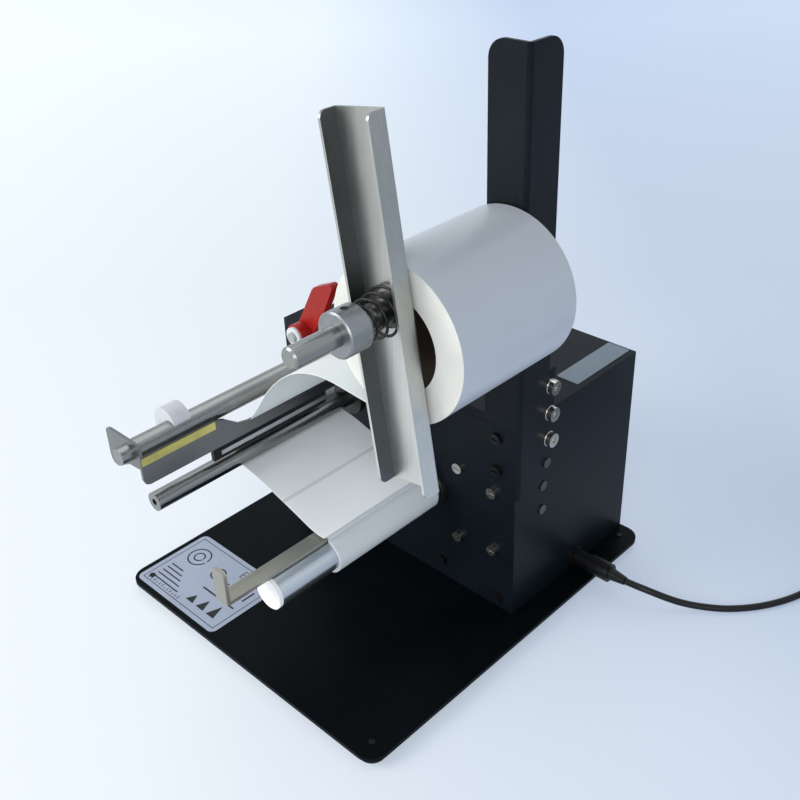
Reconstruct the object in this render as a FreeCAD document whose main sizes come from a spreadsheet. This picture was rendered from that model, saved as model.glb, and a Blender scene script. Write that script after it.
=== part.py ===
import FreeCAD
import Part
import math
import os
import re

from FreeCAD import Rotation, Vector

# Label dispenser: a black box on a base plate, with the label roll, the peel
# head and the liner take-up standing out of its front face along -Y.
# X runs along the front face, Y to the back, Z up, in millimetres.
# The origin is on the floor under the middle of the base plate.

os.makedirs("parts", exist_ok=True)
doc = FreeCAD.newDocument("label_dispenser")

# Driving sizes. "out" is a distance from the front face towards -Y.
SIZES = [
    # base plate and feet
    ("base_wide", 184), ("base_deep", 209), ("base_thick", 2), ("base_corner", 9),
    ("foot_high", 4), ("foot_rad", 7.5), ("foot_inset", 9), ("foot_taper", 1),
    ("foot_screw_rad", 1.5), ("foot_head_rad", 2.9), ("foot_head_high", 1.8),
    # housing
    ("sheet", 1.5), ("house_margin", 13.7), ("house_high", 110), ("face_gap", 112.8),
    ("house_back_gap", 1), ("seam", 0.2), ("front_drop", 2.7),
    # upright roll guide at the right corner
    ("upright_wide", 20.2), ("upright_flange", 20.4), ("upright_top", 284.5), ("upright_round", 8),
    ("upright_low", 76.7), ("wing_wide", 33.3), ("wing_high", 4.6),
    ("guide_row_back", 21), ("guide_row_low", 60), ("guide_row_step", 14.1),
    ("bar_thick", 8), ("bar_wide", 9), ("bar_over", 7), ("guide_screw_rad", 2), ("guide_head_rad", 3.5),
    ("guide_head_high", 2.8), ("lock_washer_rad", 3.8), ("lock_washer_thick", 1.1),
    # supply spindle and its pieces
    ("spindle_in", 4.3), ("spindle_z", 203), ("spindle_rad", 4.2), ("spindle_reach", 120.3),
    ("thread_rad", 2.5), ("thread_long", 8), ("nut_flat", 8), ("nut_high", 4),
    ("collar_rad", 9), ("collar_long", 10.8), ("collar_out", 88.8), ("running_gap", 0.05),
    ("hub_rad", 7), ("hub_small_rad", 5.4), ("hub_long", 9), ("hub_flange", 1.6),
    ("wire_rad", 0.6), ("spring_big", 9.6), ("spring_small", 6.6), ("spring_turns", 3.5),
    # outer guide channel
    ("guide_out", 71.9), ("guide_sheet", 1.2), ("guide_wide", 25), ("guide_up", 72.8), ("guide_down", 74.7),
    ("guide_flange", 7.5), ("guide_lean", 8.25), ("guide_round", 3), ("guide_shift", 0.9),
    # label roll
    ("roll_rad", 33.7), ("core_bore", 20.3), ("core_wall", 2.2), ("roll_long", 67.5), ("roll_gap", 1.2),
    ("seat_gap", 0.3), ("roll_swing", 1),
    # peel head
    ("bar_in", 45.6), ("bar_z", 121.6), ("bar_rad", 5), ("stub_rad", 4), ("stub_long", 5.85),
    ("head_out", 128.95), ("head_sheet", 1.5), ("blade_off", 6.2), ("blade_low", 106.3), ("edge_high", 112.1),
    ("ear_high", 120.8), ("ear_end_out", 88.5), ("edge_start_out", 69.3), ("arm_out", 2.1),
    ("stud_in", 27.3), ("stud_z", 126), ("stud_rad", 2.5), ("slot_half", 8),
    ("strip_thick", 0.4), ("strip_high", 3.8), ("ring_rad", 8.2), ("ring_long", 9), ("ring_out", 98.1),
    ("sensor_out", 90.9), ("sensor_long", 70), ("sensor_high", 8.2), ("sensor_deep", 2.2),
    ("rail_out", 87), ("rail_long", 66), ("rail_high", 2.2), ("rail_low", 101.4),
    # clamp bracket and lever
    ("bracket_low", 86), ("bracket_side_top", 121.5), ("bracket_top", 133.5), ("bracket_wide", 56.3),
    ("bracket_slope", 24), ("bracket_corner", 19), ("bracket_flange", 20), ("lever_rad", 6), ("lever_out", 16.8), ("lever_long", 12),
    ("arm_thick", 4.5), ("arm_front", 10.6), ("cap_rad", 5),
    ("washer_rad", 6), ("washer_thick", 1),
    # lower roller
    ("low_in", 46.9), ("low_z", 91.3), ("low_rad", 4.6), ("low_reach", 122.5), ("low_inside", 12),
    ("bush_rad", 8), ("bush_flange_rad", 10), ("bush_flange", 2), ("bush_in", 4),
    ("centre_rad", 1.6), ("centre_deep", 4),
    # take-up
    ("take_in", 53.1), ("take_z", 60.3), ("tube_rad", 7.9), ("tube_bore", 4.9), ("take_reach", 105.3),
    ("drive_rad", 4.8), ("drive_in_tube", 24), ("drive_inside", 28.2), ("plug_rim", 8.1), ("plug_thick", 2),
    ("liner_rad", 9.4), ("liner_out", 71.8), ("liner_long", 66.5), ("web_thick", 0.3), ("web_skew", 0.06),
    ("clip_wide", 8), ("clip_thick", 1.8), ("clip_reach", 129.7), ("clip_rise", 18), ("clip_in", 12),
    ("clip_shift", 2.7), ("liner_bump", 11), ("web_out", 69.3), ("liner_web_out", 72.8),
    # drive inside the housing
    ("gear_module", 0.8), ("take_teeth", 24), ("motor_teeth", 30), ("gear_wide", 7), ("gear_in", 13),
    ("post_long", 24), ("post_rad", 3), ("plate_thick", 3), ("plate_left", 9), ("plate_margin", 6.3),
    ("plate_drop", 29.3), ("plate_high", 56), ("gear_angle", -5),
    ("box_wide", 40), ("box_high", 38), ("box_long", 22), ("can_rad", 15), ("can_long", 36),
    ("motor_shaft_rad", 3), ("screw_rad", 1.5), ("screw_head_rad", 2.8), ("screw_head_high", 2),
    # power
    ("jack_y", 59.5), ("jack_z", 12.8), ("jack_rad", 4), ("jack_rim", 5.6), ("jack_rim_thick", 1.7),
    ("jack_deep", 12), ("plug_stem_rad", 2.7), ("plug_stem", 10), ("plug_neck_rad", 4), ("plug_neck", 8),
    ("plug_grip_rad", 4.9), ("plug_grip", 12), ("relief_long", 9), ("cord_dia", 3.5),
    ("coil_mid", 21), ("coil_wide", 10.5), ("coil_high", 14), ("coil_x", 205), ("coil_y", 161),
    ("adapter_wide", 40), ("adapter_long", 52), ("adapter_high", 26), ("adapter_x", 190), ("adapter_y", 187.6),
    # controls and board
    ("switch_y", 88), ("switch_z", 70), ("switch_wide", 13), ("switch_high", 19), ("rocker_out", 2.2),
    ("knob_y", 60), ("knob_z", 70), ("knob_rad", 8), ("knob_long", 10),
    ("board_wide", 31), ("board_high", 56), ("board_thick", 1.6),
]

sheet = doc.addObject("Spreadsheet::Sheet", "Sizes")
for row, (word, value) in enumerate(SIZES, start=1):
    sheet.set("A%d" % row, word)
    sheet.set("B%d" % row, str(value))
    sheet.setAlias("B%d" % row, word)

def read(word):
    return float(sheet.get(word))


doc.recompute()
V = {word: read(word) for word, _ in SIZES}
NEXT = len(SIZES) + 1


def derive(word, formula):
    """Adds a cell whose value follows from other cells."""
    global NEXT
    sheet.set("A%d" % NEXT, word)
    sheet.set("B%d" % NEXT, "=" + formula)
    sheet.setAlias("B%d" % NEXT, word)
    NEXT += 1
    doc.recompute()
    V[word] = read(word)


derive("top_of_base", "foot_high + base_thick")
derive("base_rear", "0.5 * base_deep")
derive("face_y", "face_gap - 0.5 * base_deep")
derive("house_rear", "base_rear - house_back_gap")
derive("house_wide", "base_wide - 2 * house_margin")
derive("house_side", "0.5 * house_wide")
derive("wing_left", "house_side - wing_wide")
derive("bracket_right", "bracket_wide - house_side")
derive("spindle_x", "house_side - spindle_in")
derive("take_x", "house_side - take_in")
derive("bar_x", "bar_in - house_side")
derive("low_x", "low_in - house_side")
derive("stud_x", "stud_in - house_side")
derive("house_top", "top_of_base + house_high")
derive("front_top", "house_top - front_drop")
derive("inner_y", "face_y + sheet")
derive("cover_low", "house_top - sheet")
derive("inner_side", "house_side - sheet")
derive("roll_x", "spindle_x - roll_swing")
derive("roll_z", "spindle_z - sqrt((core_bore - spindle_rad - seat_gap) ^ 2 - roll_swing ^ 2)")
derive("blade_x", "bar_x + blade_off")
derive("gear_gap", "0.5 * gear_module * (take_teeth + motor_teeth)")
derive("motor_x", "take_x + gear_gap * cos(gear_angle * 1deg)")
derive("motor_z", "take_z + gear_gap * sin(gear_angle * 1deg)")
derive("plate_y", "inner_y + post_long")
derive("clip_z", "take_z + tube_rad + seat_gap")


def bind(obj, prop, formula):
    """Binds a property to a formula of sheet words, or to a plain number."""
    text = str(formula)

    def ref(m):
        return "Sizes." + m.group(0) if m.group(0) in V else m.group(0)

    obj.setExpression(prop, re.sub(r"[a-z_]+", ref, text))


def place(obj, x, y, z, rotation=None):
    if rotation is not None:
        obj.Placement = FreeCAD.Placement(Vector(0, 0, 0), rotation)
    bind(obj, "Placement.Base.x", x)
    bind(obj, "Placement.Base.y", y)
    bind(obj, "Placement.Base.z", z)
    return obj


ALONG_Y = Rotation(Vector(1, 0, 0), -90)
ALONG_X = Rotation(Vector(0, 1, 0), 90)
COUNT = [0]


def fresh(kind, hint):
    COUNT[0] += 1
    return doc.addObject(kind, "%s_%d" % (hint, COUNT[0]))


def box(x, y, z, length, width, height, hint="box"):
    b = fresh("Part::Box", hint)
    bind(b, "Length", length)
    bind(b, "Width", width)
    bind(b, "Height", height)
    return place(b, x, y, z)


def rod(x, y, z, radius, length, along="y", hint="rod"):
    """A cylinder from a point along +Y, +X or +Z."""
    c = fresh("Part::Cylinder", hint)
    bind(c, "Radius", radius)
    bind(c, "Height", length)
    turn = {"y": ALONG_Y, "x": ALONG_X, "z": None}[along]
    return place(c, x, y, z, turn)


def cone(x, y, z, radius1, radius2, length, along="z", hint="cone"):
    c = fresh("Part::Cone", hint)
    bind(c, "Radius1", radius1)
    bind(c, "Radius2", radius2)
    bind(c, "Height", length)
    turn = {"y": ALONG_Y, "x": ALONG_X, "z": None}[along]
    return place(c, x, y, z, turn)


def fuse(*pieces):
    f = fresh("Part::MultiFuse", "fuse")
    f.Shapes = list(pieces)
    f.Refine = True
    return f


def cut(base, *tools):
    c = fresh("Part::Cut", "cut")
    c.Base = base
    c.Tool = tools[0] if len(tools) == 1 else fuse(*tools)
    c.Refine = True
    return c


def group(*pieces):
    g = fresh("Part::Compound", "group")
    g.Links = list(pieces)
    return g


def edges_along(shape, axis, test):
    """Numbers of the straight edges along an axis whose middle passes the test."""
    found = []
    for number, edge in enumerate(shape.Edges, start=1):
        if len(edge.Vertexes) != 2:
            continue
        run = edge.Vertexes[1].Point - edge.Vertexes[0].Point
        middle = (edge.Vertexes[1].Point + edge.Vertexes[0].Point) * 0.5
        if run.Length > 0 and abs(run.normalize().dot(axis)) > 0.999 and test(middle):
            found.append(number)
    return found


def rounded(piece, axis, radius, test=lambda p: True):
    doc.recompute()
    f = fresh("Part::Fillet", "fillet")
    f.Base = piece
    f.Edges = [(n, radius, radius) for n in edges_along(piece.Shape, axis, test)]
    return f


def node(name, piece):
    """Names the finished sub-part; its label names its file."""
    piece.Label = name
    NODES.append(piece)
    return piece


def solids(name, pieces):
    """A group of separate solids in one node."""
    return node(name, group(*pieces))


NODES = []
AX, AY, AZ = Vector(1, 0, 0), Vector(0, 1, 0), Vector(0, 0, 1)


def profile(name, plane_role, points, length, hint="Pad", midplane=False, reverse=False):
    """A PartDesign body: a closed outline of points, padded by a bound length."""
    body = doc.addObject("PartDesign::Body", name + "_body")
    sketch = body.newObject("Sketcher::SketchObject", name + "_outline")
    plane = [f for f in body.Origin.OriginFeatures if f.Role == plane_role][0]
    sketch.AttachmentSupport = [(plane, "")]
    sketch.MapMode = "FlatFace"
    count = len(points)
    for i in range(count):
        a = points[i]
        b = points[(i + 1) % count]
        sketch.addGeometry(Part.LineSegment(Vector(a[0], a[1], 0), Vector(b[0], b[1], 0)), False)
    pad = body.newObject("PartDesign::Pad", name + "_pad")
    pad.Profile = sketch
    bind(pad, "Length", length)
    pad.Midplane = midplane
    pad.Reversed = reverse
    return body


# Base plate, feet and their screws
def build_base():
    plate = box("-0.5 * base_wide", "base_rear - base_deep", "foot_high", "base_wide", "base_deep", "base_thick")
    plate = rounded(plate, AZ, V["base_corner"])
    feet = []
    screws = []
    holes = []
    for sx in (-1, 1):
        for end in (0, 1):
            x = "%d * (0.5 * base_wide - foot_inset)" % sx
            y = "base_rear - foot_inset" if end else "base_rear - base_deep + foot_inset"
            foot = cone(x, y, 0, "foot_rad - foot_taper", "foot_rad", "foot_high")
            well = rod(x, y, "-1", "foot_head_rad + seat_gap", "foot_head_high + 1.6", "z")
            shank_way = rod(x, y, "-1", "foot_screw_rad + running_gap", "foot_high + 2", "z")
            feet.append(cut(foot, well, shank_way))
            head = rod(x, y, "0.6", "foot_head_rad", "foot_head_high", "z")
            shank = rod(x, y, "0.6 + foot_head_high", "foot_screw_rad",
                        "foot_high + base_thick - foot_head_high", "z")
            screws.append(fuse(head, shank))
            holes.append(rod(x, y, "foot_high - 1", "foot_screw_rad + running_gap", "base_thick + 2", "z"))
    for x in ("-0.3 * house_wide", "0.3 * house_wide"):
        for y in ("face_y + 18", "house_rear - 18"):
            holes.append(rod(x, y, "foot_high - 1", "foot_screw_rad + running_gap", "base_thick + 2", "z"))
    # a plain pad under the middle keeps the thin plate from drumming
    feet.append(cone(0, 0, 0, "foot_rad - foot_taper", "foot_rad", "foot_high"))
    node("base_plate", cut(plate, *holes))
    solids("rubber_feet", feet)
    solids("foot_screws", screws)


# Screws that hold the housing down on the base plate, from below
def build_base_screws():
    screws = []
    for x in ("-0.3 * house_wide", "0.3 * house_wide"):
        for y in ("face_y + 18", "house_rear - 18"):
            head = rod(x, y, "foot_high - screw_head_high", "screw_head_rad", "screw_head_high", "z")
            shank = rod(x, y, "foot_high", "foot_screw_rad", "base_thick + sheet + 1.5", "z")
            screws.append(fuse(head, shank))
    solids("base_screws", screws)


GUIDE_ROWS = [0, 1, 2, 3, 4, 5]
# places of the drive's screws, measured from the take-up's axis
MOTOR_SCREWS = [(V["take_x"] + right, V["take_z"] + over)
                for right, over in ((18.4, 19.7), (39.7, 15.1), (18.1, -22.4), (40.2, -19.3))]
# the front plate's screws near the housing's right side, on its floor lip and near its left side
RIGHT_SCREWS = [(V["house_side"] - inset, z) for inset, z in ((11.4, 107.0), (11.1, 89.2), (9.7, 13.0))]
FLOOR_SCREWS = [(V["house_side"] - 46.9, 16.2)]
LEFT_SCREWS = [(11.1 - V["house_side"], 13.0)]
FACE_SCREWS = RIGHT_SCREWS + FLOOR_SCREWS + LEFT_SCREWS


def guide_z(step):
    return "guide_row_low + %d * guide_row_step" % step


# Folded steel box: floor, two sides and back, open to the front and the top
def build_housing():
    outer = box("-house_side", "inner_y", "top_of_base", "house_wide", "house_rear - inner_y",
                "cover_low - top_of_base")
    hollow = box("-inner_side", "inner_y - 1", "top_of_base + sheet", "2 * inner_side",
                 "house_rear - sheet - inner_y + 1", "house_high")
    tools = [hollow]
    for step in GUIDE_ROWS:
        tools.append(rod("inner_side - 1", "face_y + guide_row_back", guide_z(step),
                         "guide_screw_rad + running_gap", "sheet + 2", "x"))
    tools.append(rod("inner_side - 1", "jack_y", "jack_z", "jack_rad + running_gap", "sheet + 2", "x"))
    tools.append(box("-house_side - 1", "switch_y - 0.5 * switch_wide", "switch_z - 0.5 * switch_high",
                     "sheet + 2", "switch_wide", "switch_high"))
    tools.append(rod("-house_side - 1", "knob_y", "knob_z", "3.6", "sheet + 2", "x"))
    for x in ("-0.3 * house_wide", "0.3 * house_wide"):
        for y in ("face_y + 18", "house_rear - 18"):
            tools.append(rod(x, y, "top_of_base - 1", "foot_screw_rad + running_gap", "sheet + 2", "z"))
    # turned-in lips that the front plate's screws hold
    lips = []
    for x, z in FLOOR_SCREWS:
        lips.append(box(x - 7, "inner_y", "top_of_base + sheet", "14", "sheet", "%r - top_of_base - sheet" % (z + 6)))
    for x, z in RIGHT_SCREWS:
        lips.append(box(x - 6, "inner_y", z - 5.5, "inner_side - %r" % (x - 6), "sheet", "11"))
    for x, z in LEFT_SCREWS:
        lips.append(box("-inner_side", "inner_y", z - 5.5, "inner_side + %r" % (x + 6), "sheet", "11"))
    shell = cut(outer, *tools)
    lip_holes = []
    for x, z in FACE_SCREWS:
        lip_holes.append(rod(x, "inner_y - 1", z, "screw_rad + running_gap", "sheet + 2"))
    node("housing_shell", cut(fuse(shell, *lips), *lip_holes))


# Front plate with the holes of the shafts and screws
def build_front_plate():
    plate = box("-house_side", "face_y", "top_of_base", "house_wide", "sheet", "front_top - top_of_base")
    tools = []
    for x, z in FACE_SCREWS + MOTOR_SCREWS:
        tools.append(rod(x, "face_y - 1", z, "screw_rad + running_gap", "sheet + 2"))
    tools.append(rod("take_x", "face_y - 1", "take_z", "bush_rad + running_gap", "sheet + 2"))
    tools.append(rod("low_x", "face_y - 1", "low_z", "bush_rad + running_gap", "sheet + 2"))
    for x, z in BRACKET_SCREWS:
        tools.append(rod(x, "face_y - 1", z, "screw_rad + running_gap", "sheet + 2"))
    node("front_plate", cut(plate, *tools))


def build_cover():
    top = box("-house_side", "face_y", "cover_low", "house_wide", "house_rear - face_y", "sheet")
    corner = box("wing_left - seam", "face_y - 1", "cover_low - 1", "house_wide", "sheet + 1 + seam", "sheet + 2")
    notch = box("inner_side - bar_thick - seam", "face_y + guide_row_back - 6 - seam", "cover_low - 1",
                "bar_thick + sheet + 1", "12 + 2 * seam", "sheet + 2")
    lip = box("-house_side", "face_y", "front_top + seam", "house_side + wing_left - seam", "sheet",
              "cover_low - front_top - seam")
    node("top_cover", cut(fuse(top, lip), corner, notch))
    strip = box("house_side - 15.5", "face_y + 50", "house_top", "12.5", "44", "0.3")
    node("cover_label_strip", rounded(strip, AZ, 1.0))


# Corner upright that the label roll's inner end faces
def build_upright():
    panel = box("house_side + sheet - upright_wide", "face_y", "front_top + seam", "upright_wide", "sheet",
                "upright_top - front_top - seam")
    wing = box("wing_left", "face_y", "front_top + seam", "house_side - wing_left", "sheet", "wing_high")
    flange = box("house_side", "face_y", "upright_low", "sheet", "upright_flange", "upright_top - upright_low")
    body = fuse(panel, wing, flange)
    top = V["upright_top"]
    body = rounded(body, AY, V["upright_round"],
                   lambda p: p.z > top - 1 and p.x < V["house_side"] - 1)
    body = rounded(body, AX, V["upright_round"],
                   lambda p: (p.z > top - 1 or p.z < V["upright_low"] + 1) and p.y > V["face_y"] + 10)
    body = rounded(body, AZ, V["sheet"] + 0.6,
                   lambda p: p.x > V["house_side"] + 1 and p.y < V["face_y"] + 0.5)
    tools = [rod("spindle_x", "face_y - 1", "spindle_z", "thread_rad + running_gap", "sheet + 2"),
             rod("spindle_x - 9", "face_y - 1", "spindle_z + 14", "2.2", "sheet + 2")]
    for step in (2, 3, 4, 5):
        tools.append(rod("house_side - 1", "face_y + guide_row_back", guide_z(step),
                         "guide_screw_rad + running_gap", "sheet + 2", "x"))
    node("inner_roll_guide", cut(body, *tools))
    strip = box("inner_side - bar_thick", "face_y + guide_row_back - 0.5 * bar_wide",
                "guide_row_low - bar_over", "bar_thick", "bar_wide", "5 * guide_row_step + 2 * bar_over")
    pad = box("inner_side - 0.5", "face_y + guide_row_back - 6", "cover_low + seam", "sheet + 0.5", "12",
              "guide_row_low + 5 * guide_row_step + bar_over - cover_low - seam")
    taps = []
    for step in GUIDE_ROWS:
        taps.append(rod("inner_side - bar_thick - 1", "face_y + guide_row_back", guide_z(step),
                        "guide_screw_rad + running_gap", "bar_thick + sheet + 2", "x"))
    node("guide_tapped_bar", cut(fuse(strip, pad), *taps))


# Screws of the upright: three long ones with lock washers, three short ones below
def build_guide_screws():
    long_screws = []
    washers = []
    for step in (3, 4, 5):
        y = "face_y + guide_row_back"
        start = "house_side + sheet"
        washer = rod(start, y, guide_z(step), "lock_washer_rad", "lock_washer_thick", "x")
        washers.append(cut(washer, rod(start + " - 1", y, guide_z(step), "guide_screw_rad + 0.3", "4", "x")))
        head = rod(start + " + lock_washer_thick", y, guide_z(step), "guide_head_rad", "guide_head_high", "x")
        socket = rod(start + " + lock_washer_thick + guide_head_high - 1.6", y, guide_z(step), "1.5", "2", "x")
        shank = rod("inner_side - bar_thick + 1", y, guide_z(step), "guide_screw_rad",
                    "bar_thick + 2 * sheet + lock_washer_thick - 1 + 0.5", "x")
        long_screws.append(cut(fuse(head, shank), socket))
    solids("guide_screws", long_screws)
    solids("guide_lock_washers", washers)
    short = []
    for step in (0, 1, 2):
        y = "face_y + guide_row_back"
        start = "house_side + sheet" if step == 2 else "house_side"
        head = rod(start, y, guide_z(step), "guide_screw_rad + 0.5", "0.8", "x")
        shank = rod("inner_side - bar_thick + 2", y, guide_z(step), "guide_screw_rad",
                    "%s - inner_side + bar_thick - 2 + 0.4" % start, "x")
        short.append(fuse(head, shank))
    solids("guide_short_screws", short)


def pan_screw(x, y, z, long=8):
    """A pan head screw in the front face, its head towards -Y."""
    head = rod(x, "%s - screw_head_high" % y, z, "screw_head_rad", "screw_head_high")
    slot = box("%s - 2" % x, "%s - screw_head_high - 0.5" % y, "%s - 0.35" % z, "4", "1.3", "0.7")
    shank = rod(x, "%s - 0.5" % y, z, "screw_rad", "%s + 0.5" % long)
    return cut(fuse(head, shank), slot)


def build_face_screws():
    pans = [pan_screw(x, "face_y", z, 6) for x, z in FACE_SCREWS]
    pans += [pan_screw(x, "face_y - sheet", z, 6) for x, z in BRACKET_SCREWS]
    solids("pan_screws", pans)
    solids("motor_screws", [pan_screw(x, "face_y", z, 8) for x, z in MOTOR_SCREWS])


# Supply spindle with its nut, stop collar, hub, spring and outer guide
def build_spindle():
    shaft = rod("spindle_x", "face_y - spindle_reach", "spindle_z", "spindle_rad", "spindle_reach")
    thread = rod("spindle_x", "face_y - 1", "spindle_z", "thread_rad", "thread_long + sheet + 1")
    doc.recompute()
    chamfer = cone("spindle_x", "face_y - spindle_reach - 0.7", "spindle_z", "spindle_rad - 0.7",
                   "spindle_rad", "0.7", "y")
    node("spindle", fuse(shaft, thread, chamfer))
    nut = fresh("Part::Prism", "nut")
    nut.Polygon = 6
    bind(nut, "Circumradius", "0.5 * nut_flat / cos(30deg)")
    bind(nut, "Height", "nut_high")
    place(nut, "spindle_x", "inner_y", "spindle_z", Rotation(Vector(1, 0, 0), -90) * Rotation(AZ, 30))
    bore = rod("spindle_x", "inner_y - 1", "spindle_z", "thread_rad + running_gap", "nut_high + 2")
    node("spindle_nut", cut(nut, bore))


def build_collar():
    ring = rod("spindle_x", "face_y - collar_out - collar_long", "spindle_z", "collar_rad", "collar_long")
    doc.recompute()
    f = fresh("Part::Chamfer", "collar_edge")
    f.Base = ring
    f.Edges = [(n, 0.6, 0.6) for n, e in enumerate(ring.Shape.Edges, start=1) if len(e.Vertexes) == 1]
    bore = rod("spindle_x", "face_y - collar_out - collar_long - 1", "spindle_z",
               "spindle_rad + running_gap", "collar_long + 2")
    tap = rod("spindle_x", "face_y - collar_out - 0.5 * collar_long", "spindle_z + spindle_rad - 1",
              "screw_rad + running_gap", "collar_rad", "z")
    node("spindle_collar", cut(f, bore, tap))
    grub = rod("spindle_x", "face_y - collar_out - 0.5 * collar_long", "spindle_z + spindle_rad + 0.1",
               "screw_rad", "collar_rad - spindle_rad - 0.8", "z")
    node("collar_set_screw", grub)


def build_guide_hub():
    big = rod("spindle_x", "face_y - guide_out - hub_flange", "spindle_z", "hub_rad", "hub_flange")
    small = rod("spindle_x", "face_y - guide_out - hub_long", "spindle_z", "hub_small_rad", "hub_long")
    nose = rod("spindle_x", "face_y - guide_out - 1", "spindle_z", "hub_small_rad", "guide_sheet + 1")
    bore = rod("spindle_x", "face_y - guide_out - hub_long - 1", "spindle_z", "spindle_rad + running_gap",
               "hub_long + guide_sheet + 3")
    node("guide_hub", cut(fuse(big, small, nose), bore))


def build_outer_guide():
    tilt = Rotation(AY, -V["guide_lean"])
    half = "0.5 * guide_wide"
    low = "-guide_down"
    tall = "guide_up + guide_down"
    edge = "-%s - guide_shift" % half
    web = box(edge, "0", low, "guide_wide", "guide_sheet", tall)
    left = box(edge, "-guide_flange", low, "guide_sheet", "guide_flange + 0.1", tall)
    right = box(half + " - guide_sheet - guide_shift", "-guide_flange", low, "guide_sheet",
                "guide_flange + 0.1", tall)
    body = fuse(web, left, right)
    body = rounded(body, AX, V["guide_round"], lambda p: p.y < -V["guide_flange"] + 0.5)
    body = rounded(body, AZ, V["guide_sheet"], lambda p: p.y > V["guide_sheet"] - 0.1)
    hole = rod("0", "-1", "0", "hub_small_rad + running_gap", "guide_sheet + 2")
    body = cut(body, hole)
    place(body, "spindle_x", "face_y - guide_out", "spindle_z", tilt)
    node("outer_roll_guide", body)


def helix_wire(start, end, turns, steps=14):
    """Points of a conical coil, from (radius, place) to (radius, place) along -Y."""
    count = int(turns * steps)
    points = []
    for i in range(count + 1):
        part = i / count
        rad = start[0] + (end[0] - start[0]) * part
        along = start[1] + (end[1] - start[1]) * part
        angle = 2 * math.pi * turns * part
        points.append(Vector(rad * math.cos(angle), along, rad * math.sin(angle)))
    return points


# Conical spring between the hub's flange and the collar
def build_spring():
    first = -V["wire_rad"] - 0.3
    last = -(V["collar_out"] - V["guide_out"]) + V["wire_rad"] + 0.3
    points = helix_wire((V["spring_big"], first), (V["spring_small"], last), V["spring_turns"])
    curve = Part.BSplineCurve()
    curve.interpolate(points)
    path = Part.Wire([curve.toShape()])
    tangent = curve.tangent(curve.FirstParameter)[0]
    ring = Part.Wire([Part.makeCircle(V["wire_rad"], points[0], tangent)])
    shape = path.makePipeShell([ring], True, True)
    spring = fresh("Part::Feature", "spring")
    spring.Shape = shape
    place(spring, "spindle_x", "face_y - guide_out", "spindle_z")
    node("tower_spring", spring)


# Label roll on its cardboard core; it hangs on the spindle
def build_roll():
    y = "face_y - roll_gap - roll_long"
    body = rod("roll_x", y, "roll_z", "roll_rad", "roll_long")
    hole = rod("roll_x", y + " - 1", "roll_z", "core_bore + core_wall", "roll_long + 2")
    node("label_roll", cut(body, hole))
    core = rod("roll_x", y, "roll_z", "core_bore + core_wall", "roll_long")
    bore = rod("roll_x", y + " - 1", "roll_z", "core_bore", "roll_long + 2")
    node("roll_core", cut(core, bore))


BRACKET_SCREWS = [(8.3 - V["house_side"], 95.0), (34.3 - V["house_side"], 105.0)]


# Bracket at the left corner, which carries the peel bar and the clamp stud
def build_bracket():
    y = V["face_y"] - V["sheet"]
    left = -V["house_side"]
    points = [(left, V["bracket_low"]), (V["bracket_right"], V["bracket_low"] + V["bracket_slope"]),
              (V["bracket_right"], V["bracket_top"]), (left + V["bracket_corner"], V["bracket_top"]),
              (left, V["bracket_side_top"])]
    # the outline lies in the XZ plane; its sketch axes are X and Z
    body = profile("clamp_bracket", "XZ_Plane", points, "sheet", reverse=True)
    body.Placement = FreeCAD.Placement(Vector(0, 0, 0), Rotation())
    bind(body, "Placement.Base.y", "face_y - sheet")
    flange = box("-house_side", "face_y - sheet", "house_top + seat_gap", "sheet", "bracket_flange",
                 "bracket_side_top - house_top - seat_gap")
    flange = rounded(flange, AX, 3.0, lambda p: p.z > V["bracket_side_top"] - 1 and p.y > y + 1)
    tools = [rod("bar_x", "face_y - sheet - 1", "bar_z", "stub_rad + running_gap", "sheet + 2"),
             rod("stud_x", "face_y - sheet - 1", "stud_z", "stud_rad + running_gap", "sheet + 2")]
    for x, z in BRACKET_SCREWS:
        tools.append(rod(x, "face_y - sheet - 1", z, "screw_rad + running_gap", "sheet + 2"))
    node("clamp_bracket", cut(fuse(body, flange), *tools))


# Peel bar: a fixed shaft between the head's two ears
def build_peel_bar():
    shaft = rod("bar_x", "face_y - head_out + head_sheet", "bar_z", "bar_rad",
                "head_out - head_sheet - sheet - seam")
    stub = rod("bar_x", "face_y - head_out - stub_long", "bar_z", "stub_rad", "stub_long + head_sheet + 1")
    tail = rod("bar_x", "face_y - sheet - seam - 1", "bar_z", "stub_rad", "sheet + seam + 2")
    disc = rod("bar_x", "face_y + seat_gap", "bar_z", "stub_rad + 1.3", "2")
    node("peel_bar", fuse(shaft, stub, tail, disc))
    # snap-on guide: a body set off to the far side of the bar, open towards the blade
    ring = rod("bar_x - 3.9", "face_y - ring_out - ring_long", "bar_z + 1.6", "ring_rad", "ring_long")
    hole = rod("bar_x", "face_y - ring_out - ring_long - 1", "bar_z", "bar_rad + running_gap", "ring_long + 2")
    mouth = box("bar_x + 3.4", "face_y - ring_out - ring_long - 1", "bar_z - 9", "6", "ring_long + 2", "18")
    node("bar_guide_ring", cut(ring, hole, mouth))


def outline_xz(name, points, y, thickness):
    """A sheet cut to an outline in XZ, standing at a place along Y."""
    body = profile(name, "XZ_Plane", points, thickness, reverse=True)
    bind(body, "Placement.Base.y", y)
    return body


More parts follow.
